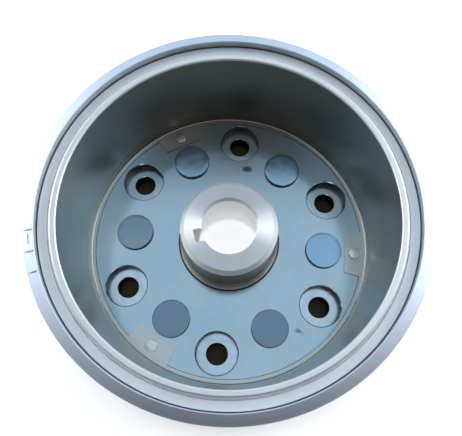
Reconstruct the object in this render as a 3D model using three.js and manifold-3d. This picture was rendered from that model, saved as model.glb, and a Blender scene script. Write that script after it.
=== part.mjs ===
// A magneto flywheel for a small engine: a riveted rotor with magnets inside a steel cup.
// Millimetres, +Z towards the open side of the cup, Z = 0 on the rear face of the hub flange.
import * as THREE from 'three';
import { mergeVertices } from 'three/addons/utils/BufferGeometryUtils.js';
import Module from 'manifold-3d';

const wasm = await Module();
wasm.setup();

// Driving dimensions.
const HEIGHT = 55; // rear face of the hub flange to the rim
const FLANGE_THICKNESS = 7;
const FLOOR_THICKNESS = 4;
const SHELL_OUTER_RADIUS = 69;
const SHELL_INNER_RADIUS = 65;
const SHELL_CORNER_RADIUS = 5;
const RIM_FALL = 0.8; // drop of the rim face from its inner edge to its outer edge
const RIM_EDGE = 0.4; // small bevels on both edges of the rim
const FLOOR_FILLET = 1.5;

const HUB_TOP = 32.3;
const HUB_RADIUS = 18.6;
const HUB_CHAMFER = 1.55;
const HUB_BASE_RADIUS = 20.2;
const HUB_BASE_RISE = 4; // height of the flare at the foot of the boss, above the floor
const HUB_BASE_LAND = 0.5; // the upright edge below the flare
const HUB_CLEARANCE = 0.25; // gap between the boss and its hole in the floor
const FLANGE_RADIUS = 54;
const FLANGE_CHAMFER = 1;
const BORE_TOP_RADIUS = 10.5;
const BORE_TAPER = 0.1; // radius gained per millimetre towards the rear, a 1:5 taper on diameter
const BORE_CHAMFER = 1;
const KEY_WIDTH = 5;
const KEY_DEPTH = 3;
const KEY_ANGLE = 196.5;

const FASTENER_COUNT = 6;
const BOLT_PITCH_RADIUS = 45.15;
const BOLT_ANGLE = 23.9;
const BOLT_HOLE_RADIUS = 4.2;
const ACCESS_HOLE_RADIUS = 8.25;
const SEAT_RADIUS = 8; // spot face for the bolt's head, inside the access hole
const SEAT_DEPTH = 0.3;
const RIVET_PITCH_RADIUS = 39;
const RIVET_ANGLE = 54.2;
const RIVET_SHANK_RADIUS = 4;
const RIVET_HEAD_RADIUS = 7.4;
const RIVET_HEAD_HEIGHT = 1.5;
const RIVET_BEVEL = 0.4;
const RIVET_TAIL_RADIUS = 6;
const RIVET_TAIL_DEPTH = 2;
const RIVET_TAIL_RECESS = 0.3; // how far the closed tail stays inside the rear face
const RIVET_CLEARANCE = 0.15;

const COVER_RADIUS = 58.2; // inside of the magnet cover at the lip
const COVER_FOOT_RADIUS = 56.4; // inside of the cover at the floor: its wall leans outwards
const COVER_THICKNESS = 0.6;
const COVER_BEND_RADIUS = 0.4;
const COVER_FLANGE_RADIUS = 54.6; // inner edge of the cover's flange on the floor
const LIP_CREST_DEPTH = 1.35; // crest of the rolled lip below the rim
const LIP_INNER_RADIUS = 0.7;
const LIP_CREST_WIDTH = 1.1; // flat top of the lip
const LIP_OUTER_WIDTH = 1.2;
const LIP_OUTER_HEIGHT = 1.75;
const LIP_GAP = 0.1; // between the lip and the ring under it
const LIP_SIDE_GAP = 0.25;
const TAB_COUNT = 3;
const TAB_ANGLE = 114.2; // each tab faces every second rivet
const TAB_CHORD = 47.8; // distance from the axis to a tab's straight inner edge
const TAB_HALF_ANGLE = 9.85;
const DIMPLE_PITCH_RADIUS = 51.8;
const DIMPLE_RADIUS = 2.4;
const DIMPLE_HEIGHT = 0.5;

const FRONT_RING_DEPTH = 2.9; // top of the front ring below the rim
const FRONT_RING_THICKNESS = 1.5;
const FRONT_RING_STEP = 0.6; // the ring's inner part is lower, under the lip
const FRONT_RING_GAP = 0.25; // between the ring and the shell

const MAGNET_COUNT = 12;
const MAGNET_ARC = 25; // degrees
const MAGNET_LENGTH = 30;
const CAGE_RING_HEIGHT = 2;
const SPACER_HEIGHT = 4.6;
const FIT = 0.3; // clearance round the hidden pieces
const MAGNET_SIDE_FIT = 0.4; // degrees between a magnet and its window

const MARK_WIDTH = 0.5;
const MARK_DEPTH = 0.35;
const MARK_ANGLES = [187.1, 193.5, 199.6];
const MARK_BAR_RADIUS = 66.9;
const MARK_BAR_ANGLES = [188.2, 191.2];
const TRIGGER_RISE = 1.2; // the pickup bar stands this far out of the shell
const TRIGGER_ANGLES = [32, 58];
const TRIGGER_BOTTOM = 20;
const TRIGGER_HEIGHT = 12;

const LARGE_SEGMENTS = 72;
const HUB_SEGMENTS = 60;
const HOLE_SEGMENTS = 32;
const RIVET_SEGMENTS = 24;
const ARC_STEP = 30; // degrees between the points of a rounded corner
const SECTOR_STEP = 4; // degrees along a sector's curve
const OVERCUT = 1; // how far a cutter runs past the face it cuts

const floorTop = FLANGE_THICKNESS + FLOOR_THICKNESS;
const sleeveOuterRadius = COVER_RADIUS + COVER_THICKNESS; // at the lip
const lipOuterRadius = COVER_RADIUS + LIP_INNER_RADIUS + LIP_CREST_WIDTH + LIP_OUTER_WIDTH;
const pocketInnerRadius = sleeveOuterRadius + FIT;
const pocketOuterRadius = SHELL_INNER_RADIUS - FIT;
const frontRingTop = HEIGHT - FRONT_RING_DEPTH;
const frontRingBottom = frontRingTop - FRONT_RING_THICKNESS;
const cageBottom = floorTop + SPACER_HEIGHT + FIT;
const cageTop = frontRingBottom - FIT;
const magnetMiddle = (cageBottom + cageTop) / 2;

function material(color, roughness, metalness = 1) {
  return new THREE.MeshStandardMaterial({ color, roughness, metalness });
}

const materials = {
  shell: material(0x9fb2bd, 0.45),
  machined: material(0xc9d3da, 0.28),
  rivet: material(0x8198aa, 0.35),
  stainless: material(0xb9c4c8, 0.3),
  ring: material(0xbcc8ce, 0.4),
  magnet: material(0x33363a, 0.6, 0.5),
  cage: material(0x1d1f22, 0.6, 0),
  spacer: material(0x8f979c, 0.5),
};

const radians = THREE.MathUtils.degToRad;

function polar(radius, degrees) {
  return [radius * Math.cos(radians(degrees)), radius * Math.sin(radians(degrees))];
}

// Points of an arc of a circle or an ellipse in the profile plane.
function arc(radius, height, radiusX, radiusY, fromDegrees, toDegrees) {
  const steps = Math.round(Math.abs(toDegrees - fromDegrees) / ARC_STEP);
  return Array.from({ length: steps + 1 }, (_, step) => {
    const turn = radians(fromDegrees + ((toDegrees - fromDegrees) * step) / steps);
    return [radius + radiusX * Math.cos(turn), height + radiusY * Math.sin(turn)];
  });
}

function toSolid(geometry) {
  geometry.deleteAttribute('normal');
  geometry.deleteAttribute('uv');
  const merged = mergeVertices(geometry);
  return new wasm.Manifold(new wasm.Mesh({
    numProp: 3,
    vertProperties: new Float32Array(merged.attributes.position.array),
    triVerts: new Uint32Array(merged.index.array),
  }));
}

// A ring or disc turned about Z. The profile lists [radius, height] points anticlockwise.
function turned(profile, segments) {
  const closed = profile[0][0] === 0 ? profile : [...profile, profile[0]];
  const points = closed.map(([radius, height]) => new THREE.Vector2(radius, height));
  return toSolid(new THREE.LatheGeometry(points, segments).rotateX(Math.PI / 2));
}

function cylinder(radius, bottom, top, centre = [0, 0], segments = HOLE_SEGMENTS) {
  const geometry = new THREE.CylinderGeometry(radius, radius, top - bottom, segments);
  geometry.rotateX(Math.PI / 2).translate(centre[0], centre[1], (bottom + top) / 2);
  return toSolid(geometry);
}

function prism(outline, bottom, top) {
  const shape = new THREE.Shape(outline.map(([x, y]) => new THREE.Vector2(x, y)));
  const geometry = new THREE.ExtrudeGeometry(shape, { depth: top - bottom, bevelEnabled: false });
  return toSolid(geometry.translate(0, 0, bottom));
}

// A block that follows a ring from one angle to another.
function sector(innerRadius, outerRadius, bottom, top, fromDegrees, toDegrees) {
  const span = toDegrees - fromDegrees;
  const steps = Math.max(1, Math.round(span / SECTOR_STEP));
  const angles = Array.from({ length: steps + 1 }, (_, i) => fromDegrees + (span * i) / steps);
  const outer = angles.map((degrees) => polar(outerRadius, degrees));
  const inner = angles.map((degrees) => polar(innerRadius, degrees)).reverse();
  return prism([...outer, ...inner], bottom, top);
}

function radialBox(width, innerRadius, outerRadius, bottom, top, degrees) {
  const geometry = new THREE.BoxGeometry(outerRadius - innerRadius, width, top - bottom);
  geometry.translate((innerRadius + outerRadius) / 2, 0, (bottom + top) / 2).rotateZ(radians(degrees));
  return toSolid(geometry);
}

function circleOf(count, pitchRadius, firstDegrees) {
  return Array.from({ length: count }, (_, i) => polar(pitchRadius, firstDegrees + (360 / count) * i));
}

const boltCentres = circleOf(FASTENER_COUNT, BOLT_PITCH_RADIUS, BOLT_ANGLE);
const rivetCentres = circleOf(FASTENER_COUNT, RIVET_PITCH_RADIUS, RIVET_ANGLE);

function buildShell() {
  const rimOuter = HEIGHT - RIM_FALL;
  const profile = [
    [HUB_BASE_RADIUS + HUB_CLEARANCE, FLANGE_THICKNESS],
    ...arc(SHELL_OUTER_RADIUS - SHELL_CORNER_RADIUS, FLANGE_THICKNESS + SHELL_CORNER_RADIUS,
      SHELL_CORNER_RADIUS, SHELL_CORNER_RADIUS, -90, 0),
    [SHELL_OUTER_RADIUS, rimOuter - RIM_EDGE],
    [SHELL_OUTER_RADIUS - RIM_EDGE, rimOuter],
    [SHELL_INNER_RADIUS + RIM_EDGE, HEIGHT],
    [SHELL_INNER_RADIUS, HEIGHT - RIM_EDGE],
    ...arc(SHELL_INNER_RADIUS - FLOOR_FILLET, floorTop + FLOOR_FILLET, FLOOR_FILLET, FLOOR_FILLET, 0, -90),
    [HUB_BASE_RADIUS + HUB_CLEARANCE, floorTop],
  ];
  let shell = turned(profile, LARGE_SEGMENTS);
  const triggerTop = TRIGGER_BOTTOM + TRIGGER_HEIGHT;
  const triggerInner = (SHELL_INNER_RADIUS + SHELL_OUTER_RADIUS) / 2;
  shell = shell.add(sector(triggerInner, SHELL_OUTER_RADIUS + TRIGGER_RISE, TRIGGER_BOTTOM, triggerTop,
    ...TRIGGER_ANGLES));
  for (const centre of boltCentres) {
    shell = shell.subtract(cylinder(ACCESS_HOLE_RADIUS, 0, HUB_TOP, centre));
  }
  const rivetHoleRadius = RIVET_SHANK_RADIUS + RIVET_CLEARANCE;
  for (const centre of rivetCentres) {
    shell = shell.subtract(cylinder(rivetHoleRadius, 0, HUB_TOP, centre, RIVET_SEGMENTS));
  }
  const markFloor = HEIGHT - RIM_FALL / 2 - MARK_DEPTH;
  const markTop = HEIGHT + OVERCUT;
  for (const degrees of MARK_ANGLES) {
    shell = shell.subtract(radialBox(MARK_WIDTH, SHELL_INNER_RADIUS + RIM_EDGE,
      SHELL_OUTER_RADIUS + OVERCUT, markFloor, markTop, degrees));
  }
  return shell.subtract(sector(MARK_BAR_RADIUS - MARK_WIDTH / 2, MARK_BAR_RADIUS + MARK_WIDTH / 2,
    markFloor, markTop, ...MARK_BAR_ANGLES));
}

function buildHub() {
  const flareFoot = floorTop + HUB_BASE_LAND;
  const flareTop = floorTop + HUB_BASE_RISE;
  const boreRear = BORE_TOP_RADIUS + BORE_TAPER * HUB_TOP;
  const profile = [
    [boreRear + BORE_CHAMFER, 0],
    [FLANGE_RADIUS - FLANGE_CHAMFER, 0],
    [FLANGE_RADIUS, FLANGE_CHAMFER],
    [FLANGE_RADIUS, FLANGE_THICKNESS],
    [HUB_BASE_RADIUS, FLANGE_THICKNESS],
    ...arc(HUB_BASE_RADIUS, flareTop, HUB_BASE_RADIUS - HUB_RADIUS, flareTop - flareFoot, -90, -180),
    [HUB_RADIUS, HUB_TOP - HUB_CHAMFER],
    [HUB_RADIUS - HUB_CHAMFER, HUB_TOP],
    [BORE_TOP_RADIUS + BORE_CHAMFER, HUB_TOP],
    [BORE_TOP_RADIUS, HUB_TOP - BORE_CHAMFER],
    [boreRear, BORE_CHAMFER],
  ];
  let hub = turned(profile, HUB_SEGMENTS);
  for (const centre of boltCentres) {
    hub = hub.subtract(cylinder(BOLT_HOLE_RADIUS, -OVERCUT, floorTop, centre));
    hub = hub.subtract(cylinder(SEAT_RADIUS, FLANGE_THICKNESS - SEAT_DEPTH, floorTop, centre));
  }
  const tailRadius = RIVET_TAIL_RADIUS + RIVET_CLEARANCE;
  const holeRadius = RIVET_SHANK_RADIUS + RIVET_CLEARANCE;
  const rivetHole = turned([
    [0, -OVERCUT],
    [tailRadius, -OVERCUT],
    [tailRadius, RIVET_TAIL_RECESS],
    [holeRadius, RIVET_TAIL_RECESS + RIVET_TAIL_DEPTH],
    [holeRadius, floorTop],
    [0, floorTop],
  ], RIVET_SEGMENTS);
  for (const [x, y] of rivetCentres) {
    hub = hub.subtract(rivetHole.translate([x, y, 0]));
  }
  // The keyway runs along the taper, so its floor leans with the bore's wall.
  const keyFloor = BORE_TOP_RADIUS + KEY_DEPTH;
  const keyLength = HUB_TOP * 3; // runs past both ends of the bore
  const key = new THREE.BoxGeometry(keyFloor, KEY_WIDTH, keyLength);
  key.translate(keyFloor / 2, 0, 0).rotateY(-Math.atan(BORE_TAPER)).translate(0, 0, HUB_TOP);
  key.rotateZ(radians(KEY_ANGLE));
  return hub.subtract(toSolid(key));
}

function buildRivet() {
  const headTop = floorTop + RIVET_HEAD_HEIGHT;
  return turned([
    [0, RIVET_TAIL_RECESS],
    [RIVET_TAIL_RADIUS, RIVET_TAIL_RECESS],
    [RIVET_SHANK_RADIUS, RIVET_TAIL_RECESS + RIVET_TAIL_DEPTH],
    [RIVET_SHANK_RADIUS, floorTop],
    [RIVET_HEAD_RADIUS, floorTop],
    [RIVET_HEAD_RADIUS, headTop - RIVET_BEVEL],
    [RIVET_HEAD_RADIUS - RIVET_BEVEL, headTop],
    [0, headTop],
  ], RIVET_SEGMENTS);
}

function buildCover() {
  const crest = HEIGHT - LIP_CREST_DEPTH;
  const innerCrestRadius = COVER_RADIUS + LIP_INNER_RADIUS;
  const outerCrestRadius = innerCrestRadius + LIP_CREST_WIDTH;
  const lipBottom = frontRingTop - FRONT_RING_STEP + LIP_GAP;
  const flangeTop = floorTop + COVER_THICKNESS;
  const bendCentreRadius = COVER_FOOT_RADIUS - COVER_BEND_RADIUS;
  const bendCentreHeight = flangeTop + COVER_BEND_RADIUS;
  const bendOuterRadius = COVER_BEND_RADIUS + COVER_THICKNESS;
  const profile = [
    [COVER_FLANGE_RADIUS, floorTop],
    ...arc(bendCentreRadius, bendCentreHeight, bendOuterRadius, bendOuterRadius, -90, 0),
    [sleeveOuterRadius, lipBottom],
    [lipOuterRadius, lipBottom],
    ...arc(outerCrestRadius, crest - LIP_OUTER_HEIGHT, LIP_OUTER_WIDTH, LIP_OUTER_HEIGHT, 0, 90),
    ...arc(innerCrestRadius, crest - LIP_INNER_RADIUS, LIP_INNER_RADIUS, LIP_INNER_RADIUS, 90, 180),
    ...arc(bendCentreRadius, bendCentreHeight, COVER_BEND_RADIUS, COVER_BEND_RADIUS, 0, -90),
    [COVER_FLANGE_RADIUS, flangeTop],
  ];
  let cover = turned(profile, LARGE_SEGMENTS);
  for (let i = 0; i < TAB_COUNT; i += 1) {
    const degrees = TAB_ANGLE + (360 / TAB_COUNT) * i;
    cover = cover.add(buildTab(flangeTop).rotate([0, 0, degrees]));
  }
  return cover;
}

// One tab along +X: radial sides, a straight inner edge and a raised round dimple.
function buildTab(flangeTop) {
  const edgeSlope = Math.tan(radians(TAB_HALF_ANGLE));
  const outer = COVER_FLANGE_RADIUS + COVER_THICKNESS;
  const outline = [
    [TAB_CHORD, -TAB_CHORD * edgeSlope],
    [outer, -outer * edgeSlope],
    [outer, outer * edgeSlope],
    [TAB_CHORD, TAB_CHORD * edgeSlope],
  ];
  const centre = [DIMPLE_PITCH_RADIUS, 0];
  const dimple = cylinder(DIMPLE_RADIUS, floorTop, flangeTop + DIMPLE_HEIGHT, centre, RIVET_SEGMENTS);
  return prism(outline, floorTop, flangeTop).add(dimple);
}

function buildFrontRing() {
  const outer = SHELL_INNER_RADIUS - FRONT_RING_GAP;
  const stepRadius = lipOuterRadius + LIP_SIDE_GAP;
  return turned([
    [pocketInnerRadius, frontRingBottom],
    [outer, frontRingBottom],
    [outer, frontRingTop],
    [stepRadius, frontRingTop],
    [stepRadius, frontRingTop - FRONT_RING_STEP],
    [pocketInnerRadius, frontRingTop - FRONT_RING_STEP],
  ], LARGE_SEGMENTS);
}

function buildSpacer() {
  return turned([
    [pocketInnerRadius, floorTop],
    [pocketOuterRadius - FLOOR_FILLET, floorTop],
    [pocketOuterRadius, floorTop + FLOOR_FILLET],
    [pocketOuterRadius, floorTop + SPACER_HEIGHT],
    [pocketInnerRadius, floorTop + SPACER_HEIGHT],
  ], LARGE_SEGMENTS);
}

function buildCage() {
  let cage = turned([
    [pocketInnerRadius, cageBottom],
    [pocketOuterRadius, cageBottom],
    [pocketOuterRadius, cageTop],
    [pocketInnerRadius, cageTop],
  ], LARGE_SEGMENTS);
  const halfWindow = MAGNET_ARC / 2 + MAGNET_SIDE_FIT;
  for (let i = 0; i < MAGNET_COUNT; i += 1) {
    const middle = (360 / MAGNET_COUNT) * i;
    cage = cage.subtract(sector(pocketInnerRadius - OVERCUT, pocketOuterRadius + OVERCUT,
      cageBottom + CAGE_RING_HEIGHT, cageTop - CAGE_RING_HEIGHT, middle - halfWindow, middle + halfWindow));
  }
  return cage;
}

function buildMagnet(middleDegrees) {
  const half = MAGNET_ARC / 2;
  return sector(pocketInnerRadius, pocketOuterRadius, magnetMiddle - MAGNET_LENGTH / 2,
    magnetMiddle + MAGNET_LENGTH / 2, middleDegrees - half, middleDegrees + half);
}

const rotor = new THREE.Group();

function addPiece(name, solid, pieceMaterial, position = [0, 0]) {
  const mesh = solid.getMesh();
  const geometry = new THREE.BufferGeometry();
  geometry.setAttribute('position', new THREE.BufferAttribute(new Float32Array(mesh.vertProperties), 3));
  geometry.setIndex(new THREE.BufferAttribute(new Uint32Array(mesh.triVerts), 1));
  geometry.computeVertexNormals();
  const piece = new THREE.Mesh(geometry, pieceMaterial);
  piece.name = name;
  piece.position.set(position[0], position[1], 0);
  rotor.add(piece);
}

addPiece('rotor_shell', buildShell(), materials.shell);
addPiece('hub', buildHub(), materials.machined);
addPiece('magnet_cover', buildCover(), materials.stainless);
addPiece('front_retaining_ring', buildFrontRing(), materials.ring);
addPiece('rear_spacer_ring', buildSpacer(), materials.spacer);
addPiece('magnet_cage', buildCage(), materials.cage);
for (let i = 0; i < MAGNET_COUNT; i += 1) {
  const number = String(i + 1).padStart(2, '0');
  addPiece(`magnet_${number}`, buildMagnet((360 / MAGNET_COUNT) * i), materials.magnet);
}
rivetCentres.forEach((centre, i) => {
  addPiece(`rivet_${i + 1}`, buildRivet(), materials.rivet, centre);
});

export default rotor;
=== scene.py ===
import math

import bpy
from mathutils import Matrix, Vector


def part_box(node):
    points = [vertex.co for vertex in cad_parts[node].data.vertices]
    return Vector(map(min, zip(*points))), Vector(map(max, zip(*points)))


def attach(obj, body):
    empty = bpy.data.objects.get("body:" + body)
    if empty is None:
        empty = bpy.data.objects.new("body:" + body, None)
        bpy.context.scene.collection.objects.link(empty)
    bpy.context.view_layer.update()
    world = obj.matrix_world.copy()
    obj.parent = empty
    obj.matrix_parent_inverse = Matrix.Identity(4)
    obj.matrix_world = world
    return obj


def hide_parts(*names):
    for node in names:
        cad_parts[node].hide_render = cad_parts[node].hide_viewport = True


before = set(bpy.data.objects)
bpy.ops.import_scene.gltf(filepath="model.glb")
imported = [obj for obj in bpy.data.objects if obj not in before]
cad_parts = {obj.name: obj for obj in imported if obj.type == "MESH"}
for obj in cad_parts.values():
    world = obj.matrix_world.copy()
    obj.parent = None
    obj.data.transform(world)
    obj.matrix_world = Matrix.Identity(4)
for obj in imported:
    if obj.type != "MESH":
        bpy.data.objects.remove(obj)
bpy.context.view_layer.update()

# A magneto flywheel lying on its back, open side up. Metres, in the CAD model's own frame.
MM = 0.001

# Sizes that come from the frame.
shell_low, shell_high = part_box("rotor_shell")
hub_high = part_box("hub")[1]
cover_low, cover_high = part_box("magnet_cover")
ring_low, ring_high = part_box("front_retaining_ring")

SHELL_RADIUS = shell_high.x
RIM = shell_high.z
SHELL_BACK = shell_low.z
FLOOR = cover_low.z
HUB_TOP = hub_high.z
FLANGE_RADIUS = hub_high.x
LIP_RADIUS = cover_high.x
LIP_CREST = cover_high.z

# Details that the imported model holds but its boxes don't tell.
SHELL_INNER_RADIUS = 65 * MM
SHELL_CORNER = 5 * MM
RIM_FALL = 0.8 * MM
HUB_RADIUS = 18.6 * MM
HUB_CHAMFER = 1.55 * MM
HUB_BASE_RADIUS = 20.2 * MM
HUB_BASE_RISE = 4 * MM
BORE_RADIUS = 10.5 * MM
BORE_CHAMFER = 1 * MM
BORE_TAPER = 0.1
KEY_WIDTH = 5 * MM
KEY_DEPTH = 3 * MM
KEY_ANGLE = 196.5
BOLT_PITCH_RADIUS = 45.15 * MM
BOLT_ANGLE = 23.9
BOLT_HOLE_RADIUS = 4.2 * MM
ACCESS_HOLE_RADIUS = 8.25 * MM
SEAT_RADIUS = 8 * MM
SEAT_DEPTH = 0.3 * MM
RIVET_HOLE_RADIUS = 4.15 * MM
RIVET_SHANK_RADIUS = 4 * MM
RIVET_TAIL_RADIUS = 6 * MM
COVER_RADIUS = 58.2 * MM
COVER_FOOT_RADIUS = 56.4 * MM
COVER_THICKNESS = 0.6 * MM
COVER_BEND = 0.4 * MM
COVER_FLANGE_RADIUS = 54.6 * MM
LIP_INNER_ROUND = 0.7 * MM
LIP_OUTER_WIDTH = 1.2 * MM
LIP_OUTER_HEIGHT = 1.75 * MM
TAB_ANGLE = 114.2
TAB_CHORD = 47.8 * MM
TAB_HALF_ANGLE = 9.85
DIMPLE_PITCH_RADIUS = 51.8 * MM
DIMPLE_RADIUS = 2.4 * MM
DIMPLE_HEIGHT = 0.5 * MM
DIMPLE_SEGMENTS = 40
MARK_ANGLES = (187.1, 193.5, 199.6)
MARK_WIDTH = 0.5 * MM
MARK_DEPTH = 0.35 * MM
MARK_BAR_RADIUS = 66.9 * MM
MARK_BAR_ANGLES = (188.2, 191.2)
TRIGGER_RISE = 1.2 * MM
TRIGGER_ANGLES = (32, 58)
TRIGGER_BOTTOM = 20 * MM
TRIGGER_TOP = 32 * MM

# Gaps between neighbouring pieces, and small steps and edges.
HUB_GAP = 0.25 * MM
BACK_FLAT = 6 * MM
RIM_FACE_DEPTH = 3 * MM
FLANGE_CORNER = 1 * MM
COUNTERSINK_GAP = 0.15 * MM
RING_SHELF_DROP = 0.6 * MM
RING_INNER_GAP = 0.3 * MM
RING_LIP_GAP = 0.25 * MM
LIP_UNDERCUT = 0.5 * MM

# Where one finish ends and the next starts. A face is flat or steep by the upright part of its normal.
FACE_MARGIN = 0.1 * MM
RIM_BAND = 2 * MM
WALL_BAND = 2 * MM
PLATED_DEPTH = 3.9 * MM
STEEP = 0.5
RIVET_STEEP = 0.6

RING_SEGMENTS = 288
HUB_SEGMENTS = 192
SMALL_SEGMENTS = 64
SHARP_ANGLE = math.radians(32)
OVERCUT = 2 * MM


def polar(radius, degrees, height=0.0):
    turn = math.radians(degrees)
    return Vector((radius * math.cos(turn), radius * math.sin(turn), height))


def arc(radius, height, size_x, size_y, start, end, steps=8):
    """Profile points on a quarter ellipse or any other stretch of one."""
    turns = [math.radians(start + (end - start) * i / steps) for i in range(steps + 1)]
    return [(radius + size_x * math.cos(t), height + size_y * math.sin(t)) for t in turns]


# ---------------------------------------------------------------- meshes

def make_object(name, vertices, faces):
    mesh = bpy.data.meshes.new(name)
    mesh.from_pydata([tuple(v) for v in vertices], [], faces)
    mesh.validate()
    made = bpy.data.objects.new(name, mesh)
    bpy.context.scene.collection.objects.link(made)
    return made


def lathe(name, profile, segments=RING_SEGMENTS, centre=(0.0, 0.0)):
    """A closed solid turned about an upright axis, from a profile listed anticlockwise."""
    on_axis = profile[0][0] == 0
    vertices = []
    rings = []
    for radius, height in profile:
        if radius == 0:
            rings.append([len(vertices)] * segments)
            vertices.append((centre[0], centre[1], height))
            continue
        rings.append(list(range(len(vertices), len(vertices) + segments)))
        for i in range(segments):
            turn = 2 * math.pi * i / segments
            x = centre[0] + radius * math.cos(turn)
            vertices.append((x, centre[1] + radius * math.sin(turn), height))
    pairs = list(zip(rings, rings[1:]))
    if not on_axis:
        pairs.append((rings[-1], rings[0]))
    faces = []
    for lower, upper in pairs:
        for i in range(segments):
            j = (i + 1) % segments
            face = [lower[i], lower[j], upper[j], upper[i]]
            corners = [v for k, v in enumerate(face) if v != face[k - 1]]
            if len(corners) > 2:
                faces.append(corners)
    return make_object(name, vertices, faces)


def prism(name, outline, bottom, top):
    """A straight block on an outline listed anticlockwise."""
    count = len(outline)
    vertices = [(x, y, bottom) for x, y in outline] + [(x, y, top) for x, y in outline]
    faces = [list(range(count))[::-1], list(range(count, 2 * count))]
    faces += [[i, (i + 1) % count, count + (i + 1) % count, count + i] for i in range(count)]
    return make_object(name, vertices, faces)


def sector(name, inner, outer, bottom, top, start, end, steps=12):
    angles = [start + (end - start) * i / steps for i in range(steps + 1)]
    outline = [polar(outer, a)[:2] for a in angles] + [polar(inner, a)[:2] for a in reversed(angles)]
    return prism(name, outline, bottom, top)


def combine(target, tools, operation):
    """Joins or cuts with each tool in turn, then removes the tools."""
    for tool in tools:
        modifier = target.modifiers.new("combine", "BOOLEAN")
        modifier.operation = operation
        modifier.solver = "EXACT"
        modifier.object = tool
    apply_modifiers(target)
    for tool in tools:
        bpy.data.objects.remove(tool)


def apply_modifiers(target):
    graph = bpy.context.evaluated_depsgraph_get()
    mesh = bpy.data.meshes.new_from_object(target.evaluated_get(graph))
    target.modifiers.clear()
    target.data = mesh


def finish_piece(piece, body, replaced):
    """Sets the shading and ties the piece to the frame."""
    piece.data.shade_smooth()
    piece.data.set_sharp_from_angle(angle=SHARP_ANGLE)
    normals = piece.modifiers.new("normals", "WEIGHTED_NORMAL")
    normals.keep_sharp = True
    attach(piece, body)
    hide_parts(replaced)


def hole_cutter(name, centre, radius, bottom, mouth, bevel):
    """Cuts a round hole up to its mouth, with a small bevel there."""
    flare = radius + bevel + OVERCUT
    return lathe(name, [
        (0, bottom - OVERCUT),
        (radius, bottom - OVERCUT),
        (radius, mouth - bevel),
        (flare, mouth + OVERCUT),
        (0, mouth + OVERCUT),
    ], SMALL_SEGMENTS, centre)


def circle_of(count, radius, start):
    return [polar(radius, start + 360 / count * i)[:2] for i in range(count)]


bolt_centres = circle_of(6, BOLT_PITCH_RADIUS, BOLT_ANGLE)
rivet_boxes = {f"rivet_{i}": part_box(f"rivet_{i}") for i in range(1, 7)}
rivet_centres = [((low + high) / 2)[:2] for low, high in rivet_boxes.values()]


# ---------------------------------------------------------------- materials

def link(tree, source, target):
    tree.links.new(source, target)


def math_node(tree, operation, first, second=None, third=None):
    node = tree.nodes.new("ShaderNodeMath")
    node.operation = operation
    for socket, value in zip(node.inputs, (first, second, third)):
        if value is None:
            continue
        if isinstance(value, (int, float)):
            socket.default_value = value
        else:
            link(tree, value, socket)
    return node.outputs[0]


def noise(tree, vector, scale, detail=4.0, roughness=0.55, dimensions="3D"):
    node = tree.nodes.new("ShaderNodeTexNoise")
    node.noise_dimensions = dimensions
    node.inputs["Scale"].default_value = scale
    node.inputs["Detail"].default_value = detail
    node.inputs["Roughness"].default_value = roughness
    link(tree, vector, node.inputs["W" if dimensions == "1D" else "Vector"])
    return node.outputs[0]


def spread(tree, value, low, high, to_low, to_high, shape="LINEAR"):
    node = tree.nodes.new("ShaderNodeMapRange")
    node.interpolation_type = shape
    node.inputs["From Min"].default_value = low
    node.inputs["From Max"].default_value = high
    node.inputs["To Min"].default_value = to_low
    node.inputs["To Max"].default_value = to_high
    link(tree, value, node.inputs["Value"])
    return node.outputs["Result"]


def blend_colours(tree, factor, first, second):
    node = tree.nodes.new("ShaderNodeMix")
    node.data_type = "RGBA"
    link(tree, factor, node.inputs["Factor"])
    for socket, colour in ((node.inputs[6], first), (node.inputs[7], second)):
        if isinstance(colour, tuple):
            socket.default_value = (*colour, 1.0)
        else:
            link(tree, colour, socket)
    return node.outputs[2]


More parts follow.
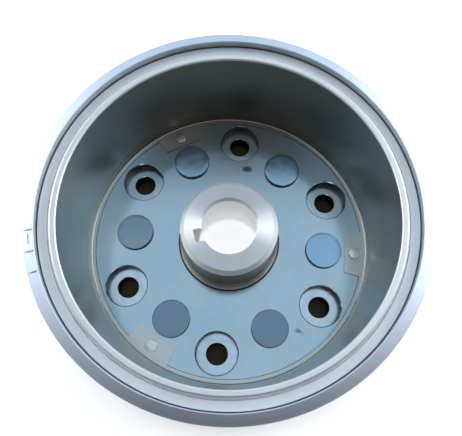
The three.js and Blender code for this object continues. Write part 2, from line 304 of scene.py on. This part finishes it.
class Metal:
    """A metal's node tree, with the coordinates that its marks follow."""

    def __init__(self, name, anisotropy=0.0, metallic=1.0):
        self.material = bpy.data.materials.new(name)
        self.material.use_nodes = True
        self.tree = self.material.node_tree
        self.shader = self.tree.nodes["Principled BSDF"]
        self.shader.inputs["Metallic"].default_value = metallic
        coordinates = self.tree.nodes.new("ShaderNodeTexCoord")
        self.place = coordinates.outputs["Object"]
        parts = self.tree.nodes.new("ShaderNodeSeparateXYZ")
        link(self.tree, self.place, parts.inputs[0])
        self.x, self.y, self.z = parts.outputs
        across = math_node(self.tree, "MULTIPLY", self.x, self.x)
        square = math_node(self.tree, "MULTIPLY_ADD", self.y, self.y, across)
        self.radius = math_node(self.tree, "SQRT", square)
        self.angle = math_node(self.tree, "ARCTAN2", self.y, self.x)
        if anisotropy:
            self.shader.inputs["Anisotropic"].default_value = anisotropy
            tangent = self.tree.nodes.new("ShaderNodeTangent")
            tangent.direction_type = "RADIAL"
            tangent.axis = "Z"
            link(self.tree, tangent.outputs[0], self.shader.inputs["Tangent"])

    def colour(self, value):
        link(self.tree, value, self.shader.inputs["Base Color"])

    def roughness(self, value):
        link(self.tree, value, self.shader.inputs["Roughness"])

    def bump(self, height, distance, strength=1.0):
        node = self.tree.nodes.new("ShaderNodeBump")
        node.inputs["Distance"].default_value = distance
        node.inputs["Strength"].default_value = strength
        link(self.tree, height, node.inputs["Height"])
        link(self.tree, node.outputs[0], self.shader.inputs["Normal"])

    def around(self, scale, detail=3.0):
        """Noise that changes only round the axis, and has no seam."""
        turn = self.tree.nodes.new("ShaderNodeCombineXYZ")
        link(self.tree, math_node(self.tree, "COSINE", self.angle), turn.inputs[0])
        link(self.tree, math_node(self.tree, "SINE", self.angle), turn.inputs[1])
        return noise(self.tree, turn.outputs[0], scale, detail)

    def distance(self, point):
        """How far a place on the piece is from a point of the frame."""
        node = self.tree.nodes.new("ShaderNodeVectorMath")
        node.operation = "DISTANCE"
        link(self.tree, self.place, node.inputs[0])
        node.inputs[1].default_value = point
        return node.outputs["Value"]

    def rings(self, scale, detail=2.0):
        """Noise that changes only with the distance from the axis and the height."""
        run = math_node(self.tree, "MULTIPLY_ADD", self.z, 1.7, self.radius)
        return noise(self.tree, run, scale, detail, 0.6, "1D")


# A small dark speck on the cover's wall.
WALL_SPECK = (55.9 * MM, 12.2 * MM, 17.8 * MM)

# A pit in the plating by the hub and a short scratch: radius and angle, size and how dark each is.
FLOOR_MARKS = (
    ((33.6 * MM, 75.6), 1.3 * MM, 0.9),
    ((33.4 * MM, 77.6), 1.1 * MM, 0.9),
    ((45.1 * MM, -53.4), 0.85 * MM, 0.5),
    ((45.9 * MM, -53), 0.8 * MM, 0.4),
    ((46.8 * MM, -52.8), 0.75 * MM, 0.3),
)


def plated_floor_metal():
    """Blue-grey plated steel, satin, with faint stains, one pit and a short scratch."""
    metal = Metal("plated_steel")
    tree = metal.tree
    stains = noise(tree, metal.place, 55, 5)
    grain = noise(tree, metal.place, 900, 3)
    stained = spread(tree, stains, 0.35, 0.68, 0, 1)
    tone = blend_colours(tree, stained, (0.335, 0.447, 0.50), (0.405, 0.503, 0.555))
    ragged = math_node(tree, "MULTIPLY", noise(tree, metal.place, 1500, 2), 2 * MM)
    for place, size, depth in FLOOR_MARKS:
        away = metal.distance(polar(*place, FLOOR))
        worn = math_node(tree, "SUBTRACT", away, ragged)
        dark = spread(tree, worn, size - 1.2 * MM, size - 0.6 * MM, depth, 0)
        tone = blend_colours(tree, dark, tone, (0.07, 0.10, 0.12))
    metal.colour(tone)
    metal.roughness(spread(tree, stains, 0.3, 0.7, 0.13, 0.18))
    metal.bump(grain, 0.00001, 0.4)
    return metal.material


FINE_RINGS = 2600
BROAD_RINGS = 300
QUARTER_TURN = 0.25


def turned_metal(name, base, tint, rough, anisotropy=0.0, lines=FINE_RINGS, across=False):
    """Machined steel with a slight tint that drifts round the face, and rings cut by the tool if fine.

    The reflections stretch round the axis, or towards it if across.
    """
    metal = Metal(name, anisotropy)
    if across:
        metal.shader.inputs["Anisotropic Rotation"].default_value = QUARTER_TURN
    tree = metal.tree
    drift = metal.around(2.2)
    rings = metal.rings(lines)
    metal.colour(blend_colours(tree, spread(tree, drift, 0.35, 0.65, 0, 1), base, tint))
    worn = math_node(tree, "MULTIPLY_ADD", spread(tree, rings, 0.3, 0.7, 0, 1), 0.12, rough)
    metal.roughness(worn)
    if lines > BROAD_RINGS:
        metal.bump(rings, 0.00002, 0.6)
    return metal.material


def drawn_stainless():
    """The thin cover: smooth drawn sheet that mirrors the floor, rougher higher up, with painted shade
    darkening its foot.
    """
    metal = Metal("drawn_stainless")
    tree = metal.tree
    stains = noise(tree, metal.place, 40, 4)
    stained = spread(tree, stains, 0.35, 0.65, 0, 1)
    tone = blend_colours(tree, stained, (0.54, 0.57, 0.55), (0.62, 0.65, 0.63))
    speck = spread(tree, metal.distance(WALL_SPECK), 0.4 * MM, 0.8 * MM, 0.85, 0)
    tone = blend_colours(tree, speck, tone, (0.05, 0.05, 0.06))
    # Painted shade: the sheet is painted darker at its foot, just above the floor.
    painted_foot_shade = spread(tree, metal.z, FLOOR + COVER_THICKNESS, FLOOR + 1.2 * MM, 1, 0)
    metal.colour(blend_colours(tree, painted_foot_shade, tone, (0.46, 0.48, 0.46)))
    height = spread(tree, metal.z, FLOOR + COVER_THICKNESS, FLOOR + 9 * MM, 0.0, 0.13, "SMOOTHSTEP")
    metal.roughness(math_node(tree, "ADD", height, spread(tree, stains, 0.3, 0.7, 0.16, 0.19)))
    return metal.material


def rivet_metal(name, base, rough):
    """Smooth steel with faint smears, up to 1.18 times as light as its base."""
    metal = Metal(name)
    tree = metal.tree
    smear = noise(tree, metal.place, 160, 4)
    smeared = spread(tree, smear, 0.3, 0.7, 0, 1)
    metal.colour(blend_colours(tree, smeared, base, tuple(c * 1.18 for c in base)))
    metal.roughness(spread(tree, smear, 0.3, 0.7, rough, rough + 0.1))
    metal.bump(smear, 0.00008, 0.4)
    return metal.material


def dull_piece(name, base, rough, metallic):
    """A plain finish for the pieces sealed behind the cover."""
    metal = Metal(name, 0, metallic)
    tree = metal.tree
    mottle = noise(tree, metal.place, 500, 4)
    mottled = spread(tree, mottle, 0.3, 0.7, 0, 1)
    metal.colour(blend_colours(tree, mottled, base, tuple(c * 1.4 for c in base)))
    metal.roughness(spread(tree, mottle, 0.3, 0.7, rough, min(1.0, rough + 0.15)))
    metal.bump(mottle, 0.00004, 0.4)
    return metal.material


plated = plated_floor_metal()
rim_metal = turned_metal("turned_rim", (0.68, 0.78, 0.89), (0.76, 0.84, 0.93), 0.40, 0.3)
hub_metal = turned_metal("turned_hub", (0.97, 0.99, 1.0), (1.0, 1.0, 1.0), 0.40, 0.95, across=True)
boss_side_metal = turned_metal("boss_side", (0.42, 0.37, 0.33), (0.50, 0.45, 0.41), 0.3)
# Painted shade: the walls of the drilled holes are made near black, standing in for the shade inside them.
hole_wall_painted_shade_metal = turned_metal("hole_wall_painted_shade", (0.08, 0.08, 0.07), (0.12, 0.12, 0.11), 0.45, lines=BROAD_RINGS)
wall_metal = turned_metal("turned_wall", (0.52, 0.57, 0.61), (0.60, 0.65, 0.68), 0.34, 0.45, 1500)
seat_metal = turned_metal("machined_seat", (0.44, 0.53, 0.59), (0.52, 0.60, 0.66), 0.16, lines=BROAD_RINGS)
# Painted highlight: the rolled lip is the cover's own sheet, made much lighter than the rest of it.
lip_painted_highlight_metal = turned_metal("rolled_lip_painted_highlight", (0.93, 0.95, 0.95), (0.97, 0.98, 0.98), 0.38)
ring_metal = turned_metal("satin_ring", (0.90, 0.94, 0.96), (0.95, 0.98, 1.0), 0.50, lines=1800)
# Painted shade: the rivets' head edges and shanks are made near black, standing in for their shaded sides.
rivet_side_painted_shade_metal = turned_metal("rivet_side", (0.07, 0.09, 0.12), (0.11, 0.14, 0.18), 0.35)
stainless = drawn_stainless()


# ---------------------------------------------------------------- the shell

def build_shell():
    edge = 0.35 * MM
    rim_outer = RIM - RIM_FALL
    floor_fillet = 1.5 * MM
    back_radius = SHELL_RADIUS - SHELL_CORNER
    inner = HUB_BASE_RADIUS + HUB_GAP
    shell = lathe("shell", [
        (inner, SHELL_BACK),
        (back_radius - BACK_FLAT, SHELL_BACK),
        *arc(back_radius, SHELL_BACK + SHELL_CORNER, SHELL_CORNER, SHELL_CORNER, -90, 0, 12),
        (SHELL_RADIUS, rim_outer - edge - RIM_FACE_DEPTH),
        *arc(SHELL_RADIUS - edge, rim_outer - edge, edge, edge, 0, 80, 4),
        *arc(SHELL_INNER_RADIUS + edge, RIM - edge, edge, edge, 100, 180, 4),
        *arc(SHELL_INNER_RADIUS - floor_fillet, FLOOR + floor_fillet, floor_fillet, floor_fillet, 0, -90, 6),
        (inner + edge, FLOOR),
        (inner, FLOOR - edge),
    ])
    trigger = sector("trigger", SHELL_RADIUS - 2 * MM, SHELL_RADIUS + TRIGGER_RISE,
                     TRIGGER_BOTTOM, TRIGGER_TOP, *TRIGGER_ANGLES)
    combine(shell, [trigger], "UNION")
    cutters = [hole_cutter(f"access_{i}", c, ACCESS_HOLE_RADIUS, 0, FLOOR, 0.3 * MM)
               for i, c in enumerate(bolt_centres)]
    cutters += [hole_cutter(f"shank_{i}", c, RIVET_HOLE_RADIUS, 0, FLOOR, 0.1 * MM)
                for i, c in enumerate(rivet_centres)]
    mark_floor = RIM - RIM_FALL / 2 - MARK_DEPTH
    for i, degrees in enumerate(MARK_ANGLES):
        half = math.degrees(MARK_WIDTH / 2 / SHELL_RADIUS)
        cutters.append(sector(f"mark_{i}", SHELL_INNER_RADIUS + edge, SHELL_RADIUS + OVERCUT,
                              mark_floor, RIM + OVERCUT, degrees - half, degrees + half, 1))
    cutters.append(sector("mark_bar", MARK_BAR_RADIUS - MARK_WIDTH / 2, MARK_BAR_RADIUS + MARK_WIDTH / 2,
                          mark_floor, RIM + OVERCUT, *MARK_BAR_ANGLES))
    combine(shell, cutters, "DIFFERENCE")
    metals = (plated, rim_metal, wall_metal, hole_wall_painted_shade_metal)
    for metal in metals:
        shell.data.materials.append(metal)
    for face in shell.data.polygons:
        centre = face.center
        reach = math.hypot(centre.x, centre.y)
        if centre.z > RIM - RIM_BAND and reach > SHELL_INNER_RADIUS - FACE_MARGIN:
            face.material_index = metals.index(rim_metal)
        elif reach > SHELL_INNER_RADIUS - WALL_BAND or centre.z < FLOOR - PLATED_DEPTH:
            face.material_index = metals.index(wall_metal)
        # Steep faces left on the floor are the holes' walls, which get the painted shade.
        elif abs(face.normal.z) < STEEP:
            face.material_index = metals.index(hole_wall_painted_shade_metal)
    finish_piece(shell, "root", "rotor_shell")


# ---------------------------------------------------------------- the hub

def build_hub():
    edge = 0.3 * MM
    bore_rear = BORE_RADIUS + BORE_TAPER * HUB_TOP
    flare_foot = FLOOR + 0.5 * MM
    flare_top = FLOOR + HUB_BASE_RISE
    flare_width = HUB_BASE_RADIUS - HUB_RADIUS
    hub = lathe("hub_boss", [
        (bore_rear + BORE_CHAMFER, 0),
        (FLANGE_RADIUS - FLANGE_CORNER, 0),
        (FLANGE_RADIUS, FLANGE_CORNER),
        (FLANGE_RADIUS, SHELL_BACK - edge),
        (FLANGE_RADIUS - edge, SHELL_BACK),
        (HUB_BASE_RADIUS, SHELL_BACK),
        *arc(HUB_BASE_RADIUS, flare_top, flare_width, flare_top - flare_foot, -90, -180, 10),
        (HUB_RADIUS, HUB_TOP - HUB_CHAMFER),
        (HUB_RADIUS - HUB_CHAMFER, HUB_TOP),
        (BORE_RADIUS + BORE_CHAMFER, HUB_TOP),
        (BORE_RADIUS, HUB_TOP - BORE_CHAMFER),
        (bore_rear, BORE_CHAMFER),
    ], HUB_SEGMENTS)
    seat = SHELL_BACK - SEAT_DEPTH
    cutters = [hole_cutter(f"seat_{i}", c, SEAT_RADIUS, seat + OVERCUT, SHELL_BACK, 0)
               for i, c in enumerate(bolt_centres)]
    cutters += [hole_cutter(f"bolt_{i}", c, BOLT_HOLE_RADIUS, 0, seat, 0.2 * MM)
                for i, c in enumerate(bolt_centres)]
    for i, centre in enumerate(rivet_centres):
        tail = RIVET_TAIL_RADIUS + COUNTERSINK_GAP
        cutters.append(lathe(f"countersink_{i}", [
            (0, -OVERCUT),
            (tail, -OVERCUT),
            (tail, 0.3 * MM),
            (RIVET_HOLE_RADIUS, 2.3 * MM),
            (RIVET_HOLE_RADIUS, FLOOR),
            (0, FLOOR),
        ], SMALL_SEGMENTS, centre))
    key_floor = BORE_RADIUS + KEY_DEPTH
    half = KEY_WIDTH / 2
    reach = HUB_TOP * 1.5
    key = prism("key", [(0, -half), (key_floor, -half), (key_floor, half), (0, half)], -reach, reach)
    lean = Matrix.Rotation(-math.atan(BORE_TAPER), 4, "Y")
    turn = Matrix.Rotation(math.radians(KEY_ANGLE), 4, "Z")
    key.data.transform(turn @ Matrix.Translation((0, 0, HUB_TOP)) @ lean)
    cutters.append(key)
    combine(hub, cutters, "DIFFERENCE")
    metals = (hub_metal, seat_metal, hole_wall_painted_shade_metal, boss_side_metal)
    for metal in metals:
        hub.data.materials.append(metal)
    for face in hub.data.polygons:
        reach = math.hypot(face.center.x, face.center.y)
        # Out by the bolts, flat faces are the seats and steep ones get the painted hole shade.
        if reach > BOLT_PITCH_RADIUS - SEAT_RADIUS:
            flat = abs(face.normal.z) > STEEP
            face.material_index = metals.index(seat_metal if flat else hole_wall_painted_shade_metal)
        elif reach > HUB_RADIUS - FACE_MARGIN:
            face.material_index = metals.index(boss_side_metal)
    finish_piece(hub, "root", "hub")


# ---------------------------------------------------------------- the magnet cover

def build_cover():
    inner_crest = COVER_RADIUS + LIP_INNER_ROUND
    outer_crest = LIP_RADIUS - LIP_OUTER_WIDTH
    lip_bottom = ring_high.z - LIP_UNDERCUT
    sheet = FLOOR + COVER_THICKNESS
    bend_radius = COVER_FOOT_RADIUS - COVER_BEND
    bend_height = sheet + COVER_BEND
    outer_bend = COVER_BEND + COVER_THICKNESS
    edge = 0.2 * MM
    cover = lathe("cover_sleeve", [
        (COVER_FLANGE_RADIUS, FLOOR),
        *arc(bend_radius, bend_height, outer_bend, outer_bend, -90, 0, 6),
        (COVER_RADIUS + COVER_THICKNESS, lip_bottom),
        (LIP_RADIUS, lip_bottom),
        *arc(outer_crest, LIP_CREST - LIP_OUTER_HEIGHT, LIP_OUTER_WIDTH, LIP_OUTER_HEIGHT, 0, 90, 12),
        *arc(inner_crest, LIP_CREST - LIP_INNER_ROUND, LIP_INNER_ROUND, LIP_INNER_ROUND, 90, 180, 9),
        *arc(bend_radius, bend_height, COVER_BEND, COVER_BEND, 0, -90, 6),
        (COVER_FLANGE_RADIUS + edge, sheet),
        (COVER_FLANGE_RADIUS, sheet - edge),
    ])
    additions = []
    for i in range(3):
        additions += build_tab(i, sheet)
    combine(cover, additions, "UNION")
    metals = (stainless, lip_painted_highlight_metal)
    for metal in metals:
        cover.data.materials.append(metal)
    for face in cover.data.polygons:
        reach = math.hypot(face.center.x, face.center.y)
        # The lip's faces get the painted highlight.
        if face.center.z > lip_bottom + FACE_MARGIN and reach > COVER_RADIUS:
            face.material_index = metals.index(lip_painted_highlight_metal)
    finish_piece(cover, "root", "magnet_cover")


def build_tab(index, sheet):
    """A tab with radial sides, a straight inner edge, rounded corners and a raised dimple."""
    slope = math.tan(math.radians(TAB_HALF_ANGLE))
    outer = COVER_FLANGE_RADIUS + COVER_THICKNESS
    corner = 0.8 * MM
    outline = [
        (TAB_CHORD, -TAB_CHORD * slope + corner),
        (TAB_CHORD + 0.25 * corner, -TAB_CHORD * slope + 0.25 * corner),
        (TAB_CHORD + corner, -(TAB_CHORD + corner) * slope),
        (outer, -outer * slope),
        (outer, outer * slope),
        (TAB_CHORD + corner, (TAB_CHORD + corner) * slope),
        (TAB_CHORD + 0.25 * corner, TAB_CHORD * slope - 0.25 * corner),
        (TAB_CHORD, TAB_CHORD * slope - corner),
    ]
    tab = prism(f"tab_{index}", outline, FLOOR, sheet)
    top = sheet + DIMPLE_HEIGHT
    soft = 0.2 * MM
    dimple = lathe(f"dimple_{index}", [
        (0, FLOOR),
        (DIMPLE_RADIUS, FLOOR),
        (DIMPLE_RADIUS, top - soft),
        *arc(DIMPLE_RADIUS - soft, top - soft, soft, soft, 0, 90, 4)[1:],
        (0, top),
    ], DIMPLE_SEGMENTS, (DIMPLE_PITCH_RADIUS, 0))
    turn = Matrix.Rotation(math.radians(TAB_ANGLE + 120 * index), 4, "Z")
    for piece in (tab, dimple):
        piece.data.transform(turn)
    return [tab, dimple]


# ---------------------------------------------------------------- ring and rivets

def build_front_ring():
    edge = 0.25 * MM
    top = ring_high.z
    step = LIP_RADIUS + RING_LIP_GAP
    inner = COVER_RADIUS + COVER_THICKNESS + RING_INNER_GAP
    ring = lathe("front_ring", [
        (inner, ring_low.z),
        (ring_high.x, ring_low.z),
        *arc(ring_high.x - edge, top - edge, edge, edge, 0, 90, 4),
        *arc(step + edge, top - edge, edge, edge, 90, 180, 4),
        (step, top - RING_SHELF_DROP),
        (inner, top - RING_SHELF_DROP),
    ])
    ring.data.materials.append(ring_metal)
    finish_piece(ring, "root", "front_retaining_ring")


def build_rivet(name, low, high, metal):
    """A closed rivet: a slightly crowned flat head, a shank and a flush countersunk tail."""
    head = (high.x - low.x) / 2
    centre = ((low + high) / 2)[:2]
    soft = 0.35 * MM
    tail_depth = 2 * MM
    crown = 0.05 * MM
    crown_width = 1.6 * MM
    rivet = lathe(f"{name}_head", [
        (0, low.z),
        (RIVET_TAIL_RADIUS, low.z),
        (RIVET_SHANK_RADIUS, low.z + tail_depth),
        (RIVET_SHANK_RADIUS, FLOOR),
        (head, FLOOR),
        *arc(head - soft, high.z - soft - crown, soft, soft, 0, 80, 5),
        (head - crown_width, high.z),
        (0, high.z),
    ], SMALL_SEGMENTS, centre)
    metals = (metal, rivet_side_painted_shade_metal)
    for one in metals:
        rivet.data.materials.append(one)
    # Steep faces, the head's edge and the shank, get the painted shade; flat faces keep the rivet's steel.
    for face in rivet.data.polygons:
        flat = abs(face.normal.z) > RIVET_STEEP
        face.material_index = metals.index(metal if flat else rivet_side_painted_shade_metal)
    finish_piece(rivet, "root", name)


# Base colour and roughness of each rivet. The rivets are alike: their tones differ as painted light and
# shade, darkest on rivets 4 and 5.
RIVET_PAINTED_LIGHT_TONES = {
    "rivet_1": ((0.24, 0.37, 0.46), 0.1),
    "rivet_2": ((0.20, 0.31, 0.39), 0.12),
    "rivet_3": ((0.21, 0.29, 0.35), 0.2),
    "rivet_4": ((0.155, 0.22, 0.28), 0.2),
    "rivet_5": ((0.155, 0.22, 0.28), 0.2),
    "rivet_6": ((0.25, 0.40, 0.54), 0.14),
}


def build_rivets():
    for name, (base, rough) in RIVET_PAINTED_LIGHT_TONES.items():
        low, high = rivet_boxes[name]
        build_rivet(name, low, high, rivet_metal(f"{name}_steel", base, rough))


def dress_hidden_pieces():
    magnet = dull_piece("sintered_magnet", (0.10, 0.10, 0.11), 0.5, 0.6)
    cage = dull_piece("moulded_cage", (0.02, 0.02, 0.022), 0.55, 0.0)
    spacer = dull_piece("plain_aluminium", (0.55, 0.57, 0.58), 0.4, 1.0)
    looks = {"magnet_cage": cage, "rear_spacer_ring": spacer}
    for name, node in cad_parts.items():
        if name in looks or name.startswith("magnet_") and name != "magnet_cover":
            node.data.materials.clear()
            node.data.materials.append(looks.get(name, magnet))


# ---------------------------------------------------------------- stage, light, camera

FLOOR_WIDTH = 3.0


def build_floor():
    """A pale floor with painted light and painted shadow: it glows of its own beyond the flange and under the
    bore, and is painted dark olive under the flywheel's flange.
    """
    half = FLOOR_WIDTH / 2
    corners = [(-half, -half, 0), (half, -half, 0), (half, half, 0), (-half, half, 0)]
    floor = make_object("studio_floor", corners, [[0, 1, 2, 3]])
    metal = Metal("pale_floor", 0, 0.0)
    tree = metal.tree
    # Painted light: the floor glows of its own, rising from the flange's edge to beyond the rim, and again
    # under the bore.
    painted_glow_beyond_flange = spread(tree, metal.radius, FLANGE_RADIUS, SHELL_RADIUS + 15 * MM, 0, 0.6, "SMOOTHSTEP")
    hole = (BORE_RADIUS + 2 * MM, BORE_RADIUS + 6 * MM)
    painted_glow_under_bore = spread(tree, metal.radius, *hole, 0.6, 0)
    link(tree, math_node(tree, "ADD", painted_glow_beyond_flange, painted_glow_under_bore), metal.shader.inputs["Emission Strength"])
    metal.shader.inputs["Emission Color"].default_value = (1, 1, 1, 1)
    # Painted shadow: between the bore and the flange's edge the floor is painted dark olive.
    shade = math_node(tree, "ADD", spread(tree, metal.radius, FLANGE_RADIUS, SHELL_RADIUS, 0, 1),
                      spread(tree, metal.radius, *hole, 1, 0))
    metal.colour(blend_colours(tree, shade, (0.10, 0.085, 0.05), (0.9, 0.9, 0.9)))
    metal.shader.inputs["Roughness"].default_value = 0.9
    metal.shader.inputs["Specular IOR Level"].default_value = 0.1
    floor.data.materials.append(metal.material)


SKY = (0.76, 0.92, 1.08)
HORIZON = (0.48, 0.54, 0.60)
SIDE_WINDOWS = (3.8, 3.9, 4.0)
DARK_WALL = (0.035, 0.024, 0.018)
BROWN_WALL = (0.075, 0.056, 0.047)
BROWN_PATCH = (0.17, 0.125, 0.10)


def build_world():
    """A room under a pale sky: bright overhead and behind, bright low at the sides, dark in front."""
    world = bpy.data.worlds.new("room")
    bpy.context.scene.world = world
    world.use_nodes = True
    tree = world.node_tree
    background = tree.nodes["Background"]
    coordinates = tree.nodes.new("ShaderNodeTexCoord")
    parts = tree.nodes.new("ShaderNodeSeparateXYZ")
    link(tree, coordinates.outputs["Generated"], parts.inputs[0])
    x, y, z = parts.outputs
    # The bright sky straight above, 26 degrees each way from the zenith, but faded out 14 degrees in front.
    # A dark beam parts it from the bright sky behind.
    across = math_node(tree, "SUBTRACT", x, 0.05)
    along = math_node(tree, "SUBTRACT", y, 0.04)
    square = math_node(tree, "MULTIPLY_ADD", along, along, math_node(tree, "MULTIPLY", across, across))
    sky = spread(tree, math_node(tree, "SQRT", square), 0.40, 0.47, 1, 0, "SMOOTHSTEP")
    sky = math_node(tree, "MULTIPLY", sky, spread(tree, y, 0.375, 0.405, 1, 0))
    sky = math_node(tree, "MULTIPLY", sky, spread(tree, y, -0.24, -0.08, 0, 1, "SMOOTHSTEP"))
    behind = spread(tree, y, 0.48, 0.56, 0, 0.85, "SMOOTHSTEP")
    aside = math_node(tree, "ABSOLUTE", x)
    beside = spread(tree, aside, 0.53, 0.66, 0, 0.65, "SMOOTHSTEP")
    beside = math_node(tree, "MULTIPLY", beside, spread(tree, y, -0.35, 0.0, 0, 1, "SMOOTHSTEP"))
    bright = math_node(tree, "MAXIMUM", sky, math_node(tree, "MAXIMUM", behind, beside))
    front = spread(tree, y, -0.62, -0.40, 0, 1, "SMOOTHSTEP")
    near = blend_colours(tree, front, DARK_WALL, BROWN_WALL)
    # A dim brown patch in front of the sky.
    low_x = math_node(tree, "DIVIDE", math_node(tree, "SUBTRACT", x, 0.05), 0.30)
    low_y = math_node(tree, "DIVIDE", math_node(tree, "ADD", y, 0.24), 0.24)
    square = math_node(tree, "MULTIPLY_ADD", low_y, low_y, math_node(tree, "MULTIPLY", low_x, low_x))
    near = blend_colours(tree, spread(tree, square, 0.75, 1.1, 1, 0), near, BROWN_PATCH)
    colour = blend_colours(tree, bright, near, SKY)
    horizon = spread(tree, z, 0.15, 0.4, 1, 0, "SMOOTHSTEP")
    colour = blend_colours(tree, horizon, colour, HORIZON)
    # Closeness to the two bright side windows, 27 degrees up and a little behind; the left one is smaller.
    side = math_node(tree, "MULTIPLY_ADD", aside, 0.81, spread(tree, x, -0.3, 0.3, -0.02, 0))
    side = math_node(tree, "MULTIPLY_ADD", y, 0.355, side)
    side = math_node(tree, "MULTIPLY_ADD", z, 0.455, side)
    window = spread(tree, side, 0.90, 0.965, 0, 1, "SMOOTHSTEP")
    colour = blend_colours(tree, window, colour, SIDE_WINDOWS)
    link(tree, colour, background.inputs["Color"])


def add_panel(name, place, aim, width, height, power, colour):
    data = bpy.data.lights.new(name, "AREA")
    data.shape = "RECTANGLE"
    data.size = width
    data.size_y = height
    data.energy = power
    data.color = colour
    panel = bpy.data.objects.new(name, data)
    panel.location = place
    panel.rotation_euler = (Vector(aim) - Vector(place)).to_track_quat("-Z", "Y").to_euler()
    panel.visible_glossy = False
    bpy.context.scene.collection.objects.link(panel)


def build_lights():
    middle = (0, 0, FLOOR)
    add_panel("back_softbox", (0.0, 0.42, 0.95), middle, 1.0, 0.6, 0.3, (0.86, 0.94, 1.0))
    add_panel("left_softbox", (-0.9, 0.1, 0.5), middle, 0.5, 0.5, 0.2, (0.93, 0.97, 1.0))
    add_panel("right_softbox", (0.9, 0.1, 0.5), middle, 0.5, 0.5, 0.2, (0.93, 0.97, 1.0))


CAMERA_PLACE = (-0.6 * MM, -58.35 * MM, RIM + 164.7 * MM)
CAMERA_LEAN = 18.2
CAMERA_TURN = -0.38
CAMERA_LENS = 40.73
CAMERA_SENSOR = 36


def build_camera():
    """The photograph's view: close above the near rim, leaning 18 degrees towards the far one."""
    data = bpy.data.cameras.new("camera")
    data.sensor_width = CAMERA_SENSOR
    data.lens = CAMERA_LENS
    data.clip_start = 0.01
    camera = bpy.data.objects.new("camera", data)
    place = Matrix.Translation(CAMERA_PLACE)
    lean = Matrix.Rotation(math.radians(CAMERA_LEAN), 4, "X")
    turn = Matrix.Rotation(math.radians(CAMERA_TURN), 4, "Y")
    camera.matrix_world = place @ lean @ turn
    bpy.context.scene.collection.objects.link(camera)
    bpy.context.scene.camera = camera


build_camera()
build_shell()
build_hub()
build_cover()
build_front_ring()
build_rivets()
dress_hidden_pieces()
build_floor()
build_world()
build_lights()
bpy.context.scene.view_settings.view_transform = "Standard"
